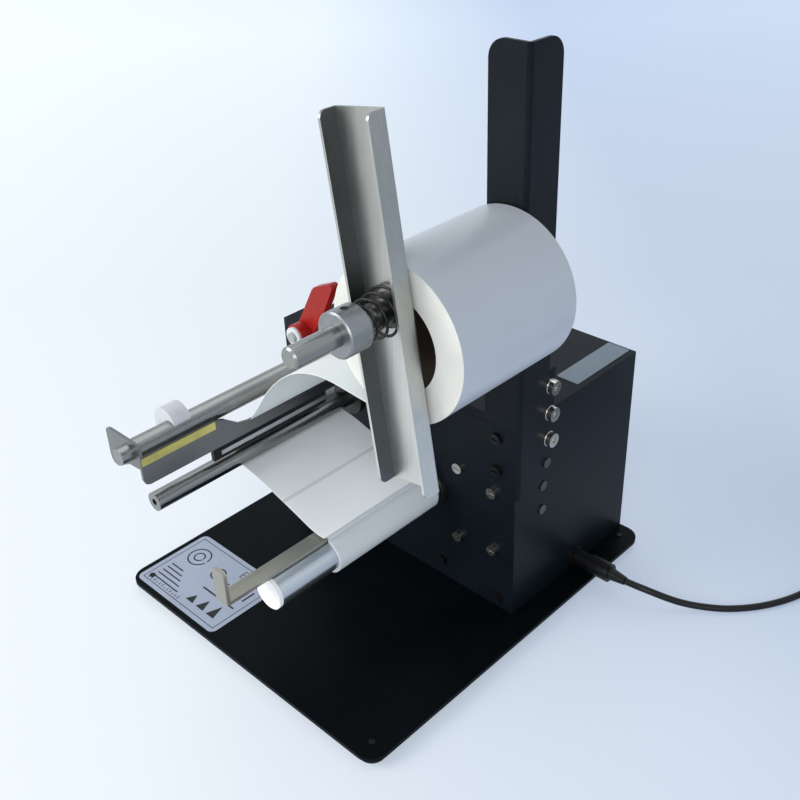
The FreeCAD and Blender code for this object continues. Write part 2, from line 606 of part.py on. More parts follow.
# Peel head: blade with its two ears, folded from one sheet, turning on the bar
def build_peel_head():
    x0 = V["blade_x"]
    thick = V["head_sheet"]
    front = V["face_y"] - V["head_out"]
    end_y = V["face_y"] - V["arm_out"]
    ear_y = V["face_y"] - V["ear_end_out"]
    edge_y = V["face_y"] - V["edge_start_out"]
    # blade outline in the YZ plane: tall by the ear, lower where the web turns over it
    low = V["blade_low"]
    outline = [(front, low + 3), (front + 0.9, low + 0.9), (front + 3, low), (end_y, low),
               (end_y, V["edge_high"]), (edge_y, V["edge_high"]), (edge_y - 6, V["edge_high"] + 1.2),
               (ear_y + 5, V["ear_high"] - 1.6), (ear_y, V["ear_high"]), (front, V["ear_high"])]
    blade = profile("blade", "YZ_Plane", outline, "head_sheet")
    bind(blade, "Placement.Base.x", "blade_x")
    bx, bz = V["bar_x"], V["bar_z"]
    ear = [(bx - 17.3, bz + 4), (bx - 16.6, bz + 5.2), (bx - 14.3, bz + 5.8), (x0 + thick - 1, bz + 5.9),
           (x0 + thick, bz + 4.9), (x0 + thick, bz - 6.7), (bx - 2, bz - 7.5), (bx - 12.3, bz - 13.1),
           (bx - 15.4, bz - 12.6), (bx - 16.8, bz - 10.8), (bx - 17.3, bz - 8.6)]
    outer = outline_xz("outer_ear", ear, "face_y - head_out", "head_sheet")
    sx, sz = V["stud_x"], V["stud_z"]
    arm = [(sx - 7, sz - 7), (sx + 6, sz - 11), (bx, bz - 13), (x0 + thick, V["blade_low"]),
           (x0 + thick, V["edge_high"]), (bx + 7, bz + 6), (bx + 2, bz + 8), (sx - 3, sz + 7), (sx - 7, sz + 4)]
    inner = outline_xz("inner_arm", arm, "face_y - sheet - seam - head_sheet", "head_sheet")
    tools = [rod("bar_x", "face_y - head_out - 1", "bar_z", "stub_rad + running_gap", "head_sheet + 1"),
             rod("bar_x", "face_y - sheet - seam - head_sheet - 1", "bar_z", "bar_rad + running_gap",
                 "head_sheet + 2")]
    # arc slot for the clamp stud, centred on the bar
    reach = math.hypot(sx - bx, sz - bz)
    middle = math.degrees(math.atan2(sz - bz, sx - bx))
    for i in range(-4, 5):
        angle = math.radians(middle + i * V["slot_half"] / 4)
        tools.append(rod(bx + reach * math.cos(angle), "face_y - sheet - seam - head_sheet - 1",
                         bz + reach * math.sin(angle), "stud_rad + 0.25", "head_sheet + 2"))
    # the bar's full section stops short of the outer ear
    node("peel_head", cut(fuse(blade, outer, inner), *tools))
    strip = box("blade_x + head_sheet", "face_y - head_out + 0.45", "ear_high - 0.2 - strip_high",
                "strip_thick", "head_out - ear_end_out - 0.85", "strip_high")
    node("wear_strip", strip)
    # label sensor: a dark bar behind the blade's lower edge, with a light rail on its face
    sensor = box("blade_x - sensor_deep", "face_y - sensor_out", "blade_low + 0.8 - sensor_high",
                 "sensor_deep", "sensor_long", "sensor_high")
    node("label_sensor", sensor)
    rail = box("blade_x", "face_y - rail_out", "rail_low", "1", "rail_long", "rail_high")
    node("sensor_rail", rail)


# Red clamp lever with its stud, washers and cap
def build_lever():
    sx, sz = "stud_x", "stud_z"
    arm_face = "face_y - sheet - seam - head_sheet"
    stud = rod(sx, "face_y - lever_out - 3", sz, "stud_rad", "lever_out + 3 + 8")
    node("clamp_stud", stud)
    washer = rod(sx, arm_face + " - seam - washer_thick", sz, "washer_rad", "washer_thick")
    hole = rod(sx, arm_face + " - 4", sz, "stud_rad + running_gap", "6")
    node("clamp_washer", cut(washer, hole))
    barrel = rod(sx, "face_y - lever_out", sz, "lever_rad", "lever_long")
    cx, cz = V["stud_x"], V["stud_z"]
    paddle = [(cx - 5.4, cz + 2), (cx - 3.6, cz + 4.8), (cx + 8.4, cz + 26), (cx + 10, cz + 27.8),
              (cx + 21.4, cz + 32.8), (cx + 23.2, cz + 32.4), (cx + 23.6, cz + 31), (cx + 16.2, cz + 16.4),
              (cx + 5.4, cz - 2.2)]
    arm = outline_xz("lever_paddle", paddle, "face_y - arm_front", "arm_thick")
    bore = rod(sx, "face_y - lever_out - 1", sz, "stud_rad + running_gap", "lever_long + 2")
    node("clamp_lever", cut(fuse(barrel, arm), bore))
    cap = rod(sx, "face_y - lever_out - 1.4 - 0.1", sz, "cap_rad", "1.4")
    node("lever_cap", cut(cap, rod(sx, "face_y - lever_out - 3", sz, "stud_rad + running_gap", "5")))


def flanged_bush(x, z, bore):
    flange = rod(x, "face_y - bush_flange", z, "bush_flange_rad", "bush_flange")
    sleeve = rod(x, "face_y - bush_flange", z, "bush_rad", "bush_flange + bush_in")
    hole = rod(x, "face_y - bush_flange - 1", z, bore + " + running_gap", "bush_flange + bush_in + 2")
    return cut(fuse(flange, sleeve), hole)


# Lower roller, which the backing web turns under
def build_lower_roller():
    shaft = rod("low_x", "face_y - low_reach", "low_z", "low_rad", "low_reach + low_inside")
    groove = rod("low_x", "face_y - low_reach - 1", "low_z", "centre_rad", "centre_deep + 1")
    node("lower_roller", cut(shaft, groove))
    solids("shaft_bushes", [flanged_bush("low_x", "low_z", "low_rad"),
                            flanged_bush("take_x", "take_z", "drive_rad")])


# Take-up: tube, end plug, drive shaft, wound liner and clip bar
def build_takeup():
    tube = rod("take_x", "face_y - take_reach", "take_z", "tube_rad", "take_reach - bush_flange - 0.5")
    bore = rod("take_x", "face_y - take_reach - 1", "take_z", "tube_bore", "take_reach + 2")
    node("takeup_tube", cut(tube, bore))
    face = rod("take_x", "face_y - take_reach - plug_thick", "take_z", "plug_rim", "plug_thick")
    spigot = rod("take_x", "face_y - take_reach - 0.5", "take_z", "tube_bore - running_gap", "10.5")
    node("tube_end_plug", fuse(face, spigot))
    drive = rod("take_x", "face_y - drive_in_tube", "take_z", "drive_rad", "drive_in_tube + drive_inside")
    node("takeup_shaft", drive)
    liner = rod("take_x", "face_y - liner_out", "take_z", "liner_rad", "liner_long")
    # the wound backing rises over the clip bar that lies on the tube
    bump = box("take_x - clip_shift - 0.5 * clip_wide - 0.8", "face_y - liner_out", "take_z",
               "clip_wide + 1.6", "liner_long", "liner_bump")
    bump = rounded(bump, AY, 1.8, lambda p: p.z > V["take_z"] + 5)
    hole = rod("take_x", "face_y - liner_out - 1", "take_z", "tube_rad + 0.02", "liner_long + 2")
    slot = box("take_x - clip_shift - 0.5 * clip_wide - seat_gap", "face_y - liner_out - 1", "clip_z - 2",
               "clip_wide + 2 * seat_gap", "liner_long + 2", "clip_thick + 2.2")
    node("liner_roll", cut(fuse(liner, bump), hole, slot))
    flat = box("take_x - clip_shift - 0.5 * clip_wide", "face_y - clip_reach", "clip_z", "clip_wide",
               "clip_reach - clip_in", "clip_thick")
    handle = box("take_x - clip_shift - 0.5 * clip_wide", "face_y - clip_reach", "clip_z", "clip_wide",
                 "clip_thick", "clip_rise")
    doc.recompute()
    top = V["clip_z"] + V["clip_rise"]
    tab = fresh("Part::Chamfer", "tab_corners")
    tab.Base = handle
    tab.Edges = [(n, 1.6, 1.6) for n in edges_along(handle.Shape, AY, lambda p: p.z > top - 0.5)]
    node("liner_clip_bar", fuse(flat, tab))


def gear_points(teeth, module, turn):
    """Corner points of a spur gear: root, flank and tip of each tooth."""
    pitch = 0.5 * module * teeth
    root = pitch - 1.25 * module
    tip = pitch + module
    step = 2 * math.pi / teeth
    points = []
    for i in range(teeth):
        a = turn + i * step
        for rad, share in ((root, -0.30), (pitch, -0.235), (tip, -0.12), (tip, 0.12), (pitch, 0.235), (root, 0.30)):
            points.append((rad * math.cos(a + share * step), rad * math.sin(a + share * step)))
    return points


def gear(name, x, z, teeth, turn, bore):
    points = gear_points(int(teeth), V["gear_module"], turn)
    body = profile(name, "XZ_Plane", points, "gear_wide", reverse=True)
    bind(body, "Placement.Base.x", x)
    bind(body, "Placement.Base.y", "face_y + gear_in")
    bind(body, "Placement.Base.z", z)
    hub = rod(x, "face_y + gear_in", z, bore + " + 3", "gear_wide + 3")
    hole = rod(x, "face_y + gear_in - 1", z, bore + " + running_gap", "gear_wide + 6")
    node(name, cut(fuse(body, hub), hole))


# Gear drive behind the front plate
def build_drive():
    angle = math.radians(V["gear_angle"])
    take_teeth, motor_teeth = V["take_teeth"], V["motor_teeth"]
    gear("takeup_gear", "take_x", "take_z", take_teeth, angle, "drive_rad")
    half_pitch = math.pi / motor_teeth
    gear("motor_gear", "motor_x", "motor_z", motor_teeth, angle + math.pi + half_pitch, "motor_shaft_rad")
    posts = []
    for x, z in MOTOR_SCREWS:
        post = rod(x, "inner_y", z, "post_rad", "post_long")
        tap = rod(x, "inner_y - 1", z, "screw_rad + running_gap", "11")
        posts.append(cut(post, tap))
    solids("motor_posts", posts)
    plate = box("take_x - plate_left", "plate_y", "take_z - plate_drop",
                "inner_side - plate_margin - take_x + plate_left", "plate_thick", "plate_high")
    tools = [rod("motor_x", "plate_y - 1", "motor_z", "motor_shaft_rad + 1.2", "plate_thick + 2"),
             rod("take_x", "plate_y - 1", "take_z", "drive_rad + running_gap", "plate_thick + 2")]
    node("motor_plate", cut(plate, *tools))
    case = box("motor_x - 0.5 * box_wide + 4", "plate_y + plate_thick", "motor_z - 0.5 * box_high",
               "box_wide - 4", "box_long", "box_high")
    case = rounded(case, AY, 3.0)
    way = rod("motor_x", "plate_y + plate_thick - 1", "motor_z", "motor_shaft_rad + running_gap", "9")
    can = rod("motor_x", "plate_y + plate_thick + box_long", "motor_z", "can_rad", "can_long")
    node("gearmotor", fuse(cut(case, way), can))
    shaft = rod("motor_x", "face_y + gear_in - 3", "motor_z", "motor_shaft_rad",
                "plate_y + plate_thick + 7.8 - face_y - gear_in + 3")
    node("motor_shaft", shaft)


# Speed control board on its posts at the left side
def build_board():
    x = "-inner_side + 8"
    board = box(x, "knob_y - 14", "knob_z - 0.5 * board_high", "board_thick", "board_wide", "board_high")
    chips = [box(x + " + board_thick", "knob_y + 8", "knob_z - 20", "11", "14", "10"),
             rod(x + " + board_thick", "knob_y + 16", "knob_z + 14", "5", "16", "x"),
             box(x + " + board_thick", "knob_y - 11", "knob_z - 24", "8", "10", "16")]
    node("control_board", cut(fuse(board, *chips), rod("-inner_side", "knob_y", "knob_z", "3.5 + running_gap",
                                                       "12", "x")))


# Speed knob and rocker switch on the left side
def build_controls():
    bushing = rod("-house_side - 4.5", "knob_y", "knob_z", "3.5", "sheet + 4.5 + 6.4", "x")
    shaft_way = rod("-house_side - 5", "knob_y", "knob_z", "1.55", "14", "x")
    node("speed_bushing", cut(bushing, shaft_way))
    knob = rod("-house_side - 2.2 - knob_long", "knob_y", "knob_z", "knob_rad", "knob_long", "x")
    well = rod("-house_side - 6", "knob_y", "knob_z", "4.6", "6", "x")
    mark = box("-house_side - 2.7 - knob_long", "knob_y - 0.5", "knob_z + 2", "1.2", "1", "5")
    pin = rod("-house_side - 7", "knob_y", "knob_z", "1.5", "12", "x")
    node("speed_knob", fuse(cut(knob, well, mark), pin))
    # rocker switch: frame with a hollow that the rocker tips in
    frame = box("-house_side - 1.5", "switch_y - 0.5 * switch_wide - 1.5", "switch_z - 0.5 * switch_high - 1.5",
                "1.5", "switch_wide + 3", "switch_high + 3")
    deep = box("-house_side - 0.1", "switch_y - 0.5 * switch_wide + 0.2",
               "switch_z - 0.5 * switch_high + 0.2", "14", "switch_wide - 0.4", "switch_high - 0.4")
    hollow = box("-house_side - 3", "switch_y - 0.5 * switch_wide + 1.5",
                 "switch_z - 0.5 * switch_high + 1.5", "12", "switch_wide - 3", "switch_high - 3")
    node("switch_body", cut(fuse(frame, deep), hollow))
    rocker = rod("-house_side + 1.6", "switch_y - 0.5 * switch_wide + 1.8", "switch_z", "7.6",
                 "switch_wide - 3.6", "y")
    keep = box("-house_side - 3.6", "switch_y - 0.5 * switch_wide", "switch_z - 0.5 * switch_high + 2.2",
               "8.5", "switch_wide", "switch_high - 4.4")
    common = fresh("Part::MultiCommon", "rocker")
    common.Shapes = [rocker, keep]
    node("switch_rocker", common)


# Power jack, plug, lead, its put-away coil and the wall adapter
CORD = [(110.9, 59.5, 12.8), (117.0, 60.6, 12.4), (123.0, 63.2, 10.9), (129.5, 67.6, 7.6), (137.0, 73.2, 4.4),
        (146.0, 80.0, 2.6), (155.0, 87.4, 1.9), (164.5, 98.0, 1.9), (171.6, 109.6, 1.9), (176.1, 120.4, 1.9),
        (179.3, 132.0, 1.9), (180.3, 144.5, 1.9)]


def tube_path(points):
    """Straight runs joined by tangent arcs; returns the wire, its length and the least radius."""
    pts = [Vector(*p) for p in points]
    edges = []
    start = pts[0]
    least = 1e9
    for i in range(1, len(pts) - 1):
        a = pts[i - 1] - pts[i]
        b = pts[i + 1] - pts[i]
        turn = math.pi - a.getAngle(b)
        reach = 0.45 * min(a.Length, b.Length)
        radius = reach / math.tan(0.5 * turn)
        least = min(least, radius)
        ua = Vector(a).normalize()
        ub = Vector(b).normalize()
        p1 = pts[i] + ua * reach
        p2 = pts[i] + ub * reach
        inward = (ua + ub).normalize()
        centre = pts[i] + inward * (radius / math.cos(0.5 * turn))
        middle = centre - inward * radius
        edges.append(Part.LineSegment(start, p1).toShape())
        edges.append(Part.Arc(p1, middle, p2).toShape())
        start = p2
    edges.append(Part.LineSegment(start, pts[-1]).toShape())
    wire = Part.Wire(edges)
    return wire, wire.Length, least


def cord_tube(name, points):
    wire, length, least = tube_path(points)
    first = wire.Edges[0]
    direction = first.tangentAt(first.FirstParameter)
    ring = Part.Wire([Part.makeCircle(0.5 * V["cord_dia"], Vector(*points[0]), direction)])
    tube = fresh("Part::Feature", name)
    tube.Shape = wire.makePipeShell([ring], True, False)
    section = math.pi * (0.5 * V["cord_dia"]) ** 2
    print(name, "length %.1f least radius %.1f volume ratio %.4f"
          % (length, least, tube.Shape.Volume / (section * length)))
    node(name, tube)


def build_power():
    rim = rod("house_side", "jack_y", "jack_z", "jack_rim", "jack_rim_thick", "x")
    sleeve = rod("house_side - jack_deep", "jack_y", "jack_z", "jack_rad", "jack_deep + 1", "x")
    mouth = rod("house_side - jack_deep + 2", "jack_y", "jack_z", "plug_stem_rad + running_gap",
                "jack_deep + jack_rim_thick", "x")
    node("power_jack", cut(fuse(rim, sleeve), mouth))
    start = "house_side + jack_rim_thick"
    stem = rod(start + " - plug_stem + 1", "jack_y", "jack_z", "plug_stem_rad", "plug_stem + 1", "x")
    neck = rod(start + " + 0.3", "jack_y", "jack_z", "plug_neck_rad", "plug_neck + 2", "x")
    grip = rod(start + " + plug_neck + 1.5", "jack_y", "jack_z", "plug_grip_rad", "plug_grip", "x")
    doc.recompute()
    end = "house_side + jack_rim_thick + plug_neck + 1.5 + plug_grip"
    relief = cone(end, "jack_y", "jack_z", "3.4", "0.5 * cord_dia + 0.4", "relief_long", "x")
    node("power_plug", fuse(stem, neck, grip, relief))
    cord_tube("power_cord", CORD)
    outer = rod("coil_x", "coil_y", "0", "coil_mid + 0.5 * coil_wide", "coil_high", "z")
    inner = rod("coil_x", "coil_y", "-1", "coil_mid - 0.5 * coil_wide", "coil_high + 2", "z")
    node("cord_coil", cut(outer, inner))
    body = box("adapter_x - 0.5 * adapter_wide", "adapter_y", "0", "adapter_wide", "adapter_long", "adapter_high")
    body = rounded(body, AZ, 5.0)
    pins = [box("adapter_x - 8.5", "adapter_y + adapter_long - 0.5", "0.5 * adapter_high - 3", "1.6", "16.5", "6"),
            box("adapter_x + 6.9", "adapter_y + adapter_long - 0.5", "0.5 * adapter_high - 3", "1.6", "16.5", "6")]
    sleeve = rod("adapter_x - 7", "adapter_y - 8", "8", "2.6", "8.5")
    node("power_adapter", fuse(body, sleeve, *pins))


# Web of labels from the roll over the blade, and the backing down to the take-up
def smooth(points):
    curve = Part.BSplineCurve()
    curve.interpolate(points)
    return curve.toShape()


def web_solid(name, line, near, skew):
    """A thin strip along a smooth line in XZ; it drifts along Y with its height by the skew."""
    count = len(line)
    thick = V["web_thick"]
    one = [Vector(x, 0, z) for x, z in line]
    other = []
    for i, point in enumerate(one):
        run = one[min(i + 1, count - 1)] - one[max(i - 1, 0)]
        run.normalize()
        other.append(point + Vector(-run.z, 0, run.x) * thick)
    ends = [Part.LineSegment(one[-1], other[-1]).toShape(), Part.LineSegment(other[0], one[0]).toShape()]
    outline = Part.Wire([smooth(one), ends[0], smooth(other), ends[1]])
    solid = Part.Face(outline).extrude(Vector(0, V["liner_long"], 0))
    shear = FreeCAD.Matrix()
    shear.A23 = skew
    web = fresh("Part::Feature", name)
    web.Shape = solid.transformGeometry(shear)
    place(web, 0, near - skew * V["low_z"], 0)
    node(name, web)


def build_webs():
    edge = (V["blade_x"] + 0.5 * V["head_sheet"], V["edge_high"] + 0.4)
    rx, rz, rr = V["roll_x"], V["roll_z"], V["roll_rad"] + 0.5
    # the free web's points: a share of the way from the peel bar to the spindle, and an offset from there
    sag = [(1.0, -28.0, -47.8), (0.75, -16.325, -26.65), (0.6, -11.82, -16.24), (0.45, -7.915, -9.43),
           (0.3, -1.31, -4.62), (0.15, 7.295, -0.21), (0.0, 16.5, 2.8)]
    label_line = [(rx, rz - rr), (rx - 13, rz - rr + 1.0)]
    for share, dx, dz in sag:
        label_line.append((V["bar_x"] + share * (V["spindle_x"] - V["bar_x"]) + dx,
                           V["bar_z"] + share * (V["spindle_z"] - V["bar_z"]) + dz))
    label_line.append((edge[0] + 0.8, edge[1]))
    web_solid("label_web", label_line, V["face_y"] - V["web_out"], 0)
    lx, lz, lr = V["low_x"], V["low_z"], V["low_rad"] + 0.9
    tx, tz = V["take_x"], V["take_z"] + V["liner_bump"] + 0.5
    down = [(edge[0] - 2.4, edge[1] - 1.6), (edge[0] - 5.2, edge[1] - 7.0), (lx - lr - 0.2, lz + 4.5),
            (lx - lr - 0.1, lz + 0.5), (lx - 0.72 * lr, lz - 0.72 * lr), (lx + 0.5, lz - lr - 0.1),
            (lx + 8, lz - lr - 1.3), (lx + 23.6, lz - 11.0), (tx - 15.2, tz + 3.2), (tx - 5, tz + 0.3),
            (tx + 1.5, tz)]
    web_solid("liner_web", down, V["face_y"] - V["liner_web_out"], V["web_skew"])


build_base()
build_base_screws()
build_housing()
build_front_plate()
build_cover()
build_upright()
build_guide_screws()
build_face_screws()
build_spindle()
build_collar()
build_guide_hub()
build_outer_guide()
build_spring()
build_roll()
build_bracket()
build_peel_bar()
build_peel_head()
build_lever()
build_lower_roller()
build_takeup()
build_drive()
build_board()
build_controls()
build_power()
build_webs()

doc.recompute()

for obj in doc.Objects:
    if "Invalid" in obj.State or "Error" in obj.State:
        raise RuntimeError("%s (%s) failed: %s" % (obj.Name, obj.Label, obj.State))

for piece in NODES:
    shape = piece.Shape
    if shape.isNull() or not shape.isValid() or not shape.Solids:
        raise RuntimeError("%s has no valid solid" % piece.Label)

names = [piece.Label for piece in NODES]
if len(set(names)) != len(names) or len(names) > 60:
    raise RuntimeError("node names repeat or are too many: %d" % len(names))

for piece in NODES:
    piece.Shape.exportStep("parts/%s.step" % piece.Label)
print(len(NODES), "nodes written")
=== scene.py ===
import bpy
import bmesh
import math
from mathutils import Matrix, Vector


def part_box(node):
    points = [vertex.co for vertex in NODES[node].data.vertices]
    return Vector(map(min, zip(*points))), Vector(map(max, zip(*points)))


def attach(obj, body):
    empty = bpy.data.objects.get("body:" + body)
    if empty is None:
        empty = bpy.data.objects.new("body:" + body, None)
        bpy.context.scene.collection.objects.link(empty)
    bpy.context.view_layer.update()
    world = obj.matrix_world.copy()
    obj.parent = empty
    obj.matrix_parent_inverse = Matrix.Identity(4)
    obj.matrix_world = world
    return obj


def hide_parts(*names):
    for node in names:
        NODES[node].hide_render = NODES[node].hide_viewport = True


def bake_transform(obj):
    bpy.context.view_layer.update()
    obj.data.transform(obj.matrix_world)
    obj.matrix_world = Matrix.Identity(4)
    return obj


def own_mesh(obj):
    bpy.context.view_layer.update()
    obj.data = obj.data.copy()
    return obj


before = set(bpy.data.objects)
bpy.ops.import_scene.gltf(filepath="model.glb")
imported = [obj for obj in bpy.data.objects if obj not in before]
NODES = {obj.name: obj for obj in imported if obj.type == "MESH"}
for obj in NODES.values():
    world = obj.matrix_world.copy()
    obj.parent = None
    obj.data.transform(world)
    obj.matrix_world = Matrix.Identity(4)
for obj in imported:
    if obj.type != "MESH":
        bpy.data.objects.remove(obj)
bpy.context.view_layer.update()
MM = 0.001


# Nodes that the materials are made of
def new_material(name):
    mat = bpy.data.materials.new(name)
    mat.use_nodes = True
    tree = mat.node_tree
    shader = tree.nodes["Principled BSDF"]
    return mat, tree, shader


def add(tree, kind, **values):
    item = tree.nodes.new(kind)
    for key, value in values.items():
        setattr(item, key, value)
    return item


def object_place(tree):
    return add(tree, "ShaderNodeTexCoord").outputs["Object"]


def split_place(tree):
    split = add(tree, "ShaderNodeSeparateXYZ")
    tree.links.new(object_place(tree), split.inputs[0])
    return split.outputs


def coords(tree, scale=(1, 1, 1)):
    mapping = add(tree, "ShaderNodeMapping")
    mapping.inputs["Scale"].default_value = scale
    tree.links.new(object_place(tree), mapping.inputs["Vector"])
    return mapping.outputs["Vector"]


def calc(tree, operation, *values, clamp=False):
    """One maths node; each value is a number or another node's output."""
    item = add(tree, "ShaderNodeMath", operation=operation, use_clamp=clamp)
    for socket, value in zip(item.inputs, values):
        if isinstance(value, (int, float)):
            socket.default_value = value
        else:
            tree.links.new(value, socket)
    return item.outputs[0]


def vector_calc(tree, operation, vector, other=(0.0, 0.0, 0.0)):
    item = add(tree, "ShaderNodeVectorMath", operation=operation)
    item.inputs[1].default_value = other
    tree.links.new(vector, item.inputs[0])
    return item.outputs["Value" if operation == "LENGTH" else "Vector"]


def noise(tree, vector, scale, detail=3.0, rough=0.5):
    item = add(tree, "ShaderNodeTexNoise")
    item.inputs["Scale"].default_value = scale
    item.inputs["Detail"].default_value = detail
    item.inputs["Roughness"].default_value = rough
    tree.links.new(vector, item.inputs["Vector"])
    return item.outputs["Fac"]


def ramp(tree, value, stops):
    item = add(tree, "ShaderNodeValToRGB")
    band = item.color_ramp
    while len(band.elements) < len(stops):
        band.elements.new(0.5)
    for element, (place, color) in zip(band.elements, stops):
        element.position = place
        element.color = tuple(color) + (1.0,)
    tree.links.new(value, item.inputs["Fac"])
    return item.outputs["Color"]


def spread(tree, value, low, high, start=0.0, end=1.0, shape="LINEAR"):
    """Maps a value between start and end to one between low and high."""
    item = add(tree, "ShaderNodeMapRange", interpolation_type=shape)
    item.inputs["From Min"].default_value = start
    item.inputs["From Max"].default_value = end
    item.inputs["To Min"].default_value = low
    item.inputs["To Max"].default_value = high
    tree.links.new(value, item.inputs["Value"])
    return item.outputs["Result"]


def bump(tree, shader, height, strength, distance):
    item = add(tree, "ShaderNodeBump")
    item.inputs["Strength"].default_value = strength
    item.inputs["Distance"].default_value = distance
    tree.links.new(height, item.inputs["Height"])
    tree.links.new(item.outputs["Normal"], shader.inputs["Normal"])


def shade(color, factor):
    return tuple(min(1.0, c * factor) for c in color)


def two_tones(tree, value, color, low, high, start=0.3, end=0.7):
    """The colour times low where the value is at start, and times high where it is at end."""
    return ramp(tree, value, [(start, shade(color, low)), (end, shade(color, high))])


def scale_base(mat, share, factor):
    """Multiplies the base colour by a factor where the share is one."""
    tree = mat.node_tree
    shader = tree.nodes["Principled BSDF"]
    base = shader.inputs["Base Color"].links[0].from_socket
    mix = add(tree, "ShaderNodeMix", data_type="RGBA", blend_type="MULTIPLY", clamp_result=True)
    mix.inputs["B"].default_value = (factor, factor, factor, 1.0)
    tree.links.new(share, mix.inputs["Factor"])
    tree.links.new(base, mix.inputs["A"])
    tree.links.new(mix.outputs["Result"], shader.inputs["Base Color"])


# Kinds of surface
MOTTLE_SCALE = 35.0
DUST_SCALE = 900.0
DUST_FROM, DUST_TO = 0.74, 0.80
COAT_ROUGH = 0.15
GRAIN_DEEP = 0.0004

BRUSH_STRETCH = 0.012
BRUSH_CLOUD_SCALE = 28.0
BRUSH_DEEP = 0.0003

PAPER_CLOUD_SCALE = 18.0
FIBRE_SCALE = 1400.0
FIBRE_STRENGTH = 0.03
PAPER_DEEP = 0.0002

RING_SCALE = 2600.0
RING_SHARE = 0.35
RING_STRENGTH = 0.08
SOIL_SCALE = 60.0


def plain(name, color, rough, metal=0.0, grain=900.0, vary=0.12, bump_high=0.02, coat=0.0, spec=0.5,
          dust=0.0):
    """A moulded or coated surface with slight mottling, a fine grain and, where given, sparse dust."""
    mat, tree, shader = new_material(name)
    where = coords(tree)
    cloud = noise(tree, where, MOTTLE_SCALE, detail=4.0, rough=0.55)
    tint = two_tones(tree, cloud, color, 1 - vary, 1 + vary)
    if dust:
        specks = noise(tree, where, DUST_SCALE, detail=1.0, rough=0.4)
        speck = ramp(tree, specks, [(DUST_FROM, (0.0, 0.0, 0.0)), (DUST_TO, (dust, dust, dust))])
        dusty = add(tree, "ShaderNodeMix", data_type="RGBA", blend_type="ADD")
        dusty.inputs["Factor"].default_value = 1.0
        tree.links.new(tint, dusty.inputs["A"])
        tree.links.new(speck, dusty.inputs["B"])
        tint = dusty.outputs["Result"]
    tree.links.new(tint, shader.inputs["Base Color"])
    fine = noise(tree, where, grain, detail=2.0, rough=0.6)
    tree.links.new(spread(tree, cloud, rough * 0.9, rough * 1.12), shader.inputs["Roughness"])
    shader.inputs["Metallic"].default_value = metal
    shader.inputs["Coat Weight"].default_value = coat
    shader.inputs["Coat Roughness"].default_value = COAT_ROUGH
    shader.inputs["Specular IOR Level"].default_value = spec
    bump(tree, shader, fine, bump_high, GRAIN_DEEP)
    return mat


def brushed(name, color, rough, along, fine=1400.0, vary=0.10, strength=0.05):
    """Metal with brushing along one axis of the part and slight clouding."""
    mat, tree, shader = new_material(name)
    stretch = [fine, fine, fine]
    stretch["xyz".index(along)] = fine * BRUSH_STRETCH
    lines = noise(tree, coords(tree, tuple(stretch)), 1.0, detail=3.0, rough=0.6)
    cloud = noise(tree, coords(tree), BRUSH_CLOUD_SCALE, detail=4.0, rough=0.6)
    mixed = calc(tree, "MULTIPLY", calc(tree, "ADD", lines, cloud), 0.5)
    tree.links.new(two_tones(tree, mixed, color, 1 - vary, 1 + vary), shader.inputs["Base Color"])
    tree.links.new(spread(tree, mixed, rough * 0.8, rough * 1.25), shader.inputs["Roughness"])
    shader.inputs["Metallic"].default_value = 1.0
    bump(tree, shader, lines, strength, BRUSH_DEEP)
    return mat


def paper(name, color, rough):
    """Smooth paper with faint clouding and fibres."""
    mat, tree, shader = new_material(name)
    where = coords(tree)
    cloud = noise(tree, where, PAPER_CLOUD_SCALE, detail=3.0, rough=0.5)
    tree.links.new(two_tones(tree, cloud, color, 0.965, 1.02), shader.inputs["Base Color"])
    shader.inputs["Roughness"].default_value = rough
    fibre = noise(tree, where, FIBRE_SCALE, detail=3.0, rough=0.7)
    bump(tree, shader, fibre, FIBRE_STRENGTH, PAPER_DEEP)
    return mat


def wound_edge(name, color, rough):
    """The cut edge of a roll: fine rings round the roll's centre and slight soiling."""
    mat, tree, shader = new_material(name)
    low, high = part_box("label_roll")
    middle = [(a + b) / 2 for a, b in zip(low, high)]
    moved = vector_calc(tree, "SUBTRACT", object_place(tree), (middle[0], 0.0, middle[2]))
    flat = vector_calc(tree, "MULTIPLY", moved, (1.0, 0.0, 1.0))
    ring = add(tree, "ShaderNodeTexNoise", noise_dimensions="1D")
    ring.inputs["Scale"].default_value = RING_SCALE
    tree.links.new(vector_calc(tree, "LENGTH", flat), ring.inputs["W"])
    rings = ring.outputs["Fac"]
    soil = noise(tree, coords(tree), SOIL_SCALE, detail=5.0, rough=0.6)
    mixed = calc(tree, "MULTIPLY_ADD", rings, RING_SHARE, calc(tree, "MULTIPLY", soil, 1 - RING_SHARE))
    tint = two_tones(tree, mixed, color, 0.86, 1.03, start=0.32, end=0.62)
    tree.links.new(tint, shader.inputs["Base Color"])
    shader.inputs["Roughness"].default_value = rough
    bump(tree, shader, rings, RING_STRENGTH, PAPER_DEEP)
    return mat


def brighter_below(mat, high, low, factor):
    """Lightens the base colour from one height down to a lower one, as the table's light does on steel."""
    tree = mat.node_tree
    share = spread(tree, split_place(tree)["Z"], 1.0, 0.0, start=low, end=high, shape="SMOOTHSTEP")
    scale_base(mat, share, factor)


def gap_lines(mat, along, pitch, shift, width, darker):
    """Darkens a thin line at every pitch along one axis, where one label ends and the next begins."""
    tree = mat.node_tree
    # whole pitches are added, so that the remainder is that of a positive number
    whole_pitches = 10
    moved = calc(tree, "ADD", split_place(tree)[along], whole_pitches * pitch - shift)
    line = calc(tree, "LESS_THAN", calc(tree, "MODULO", moved, pitch), width)
    scale_base(mat, line, darker)


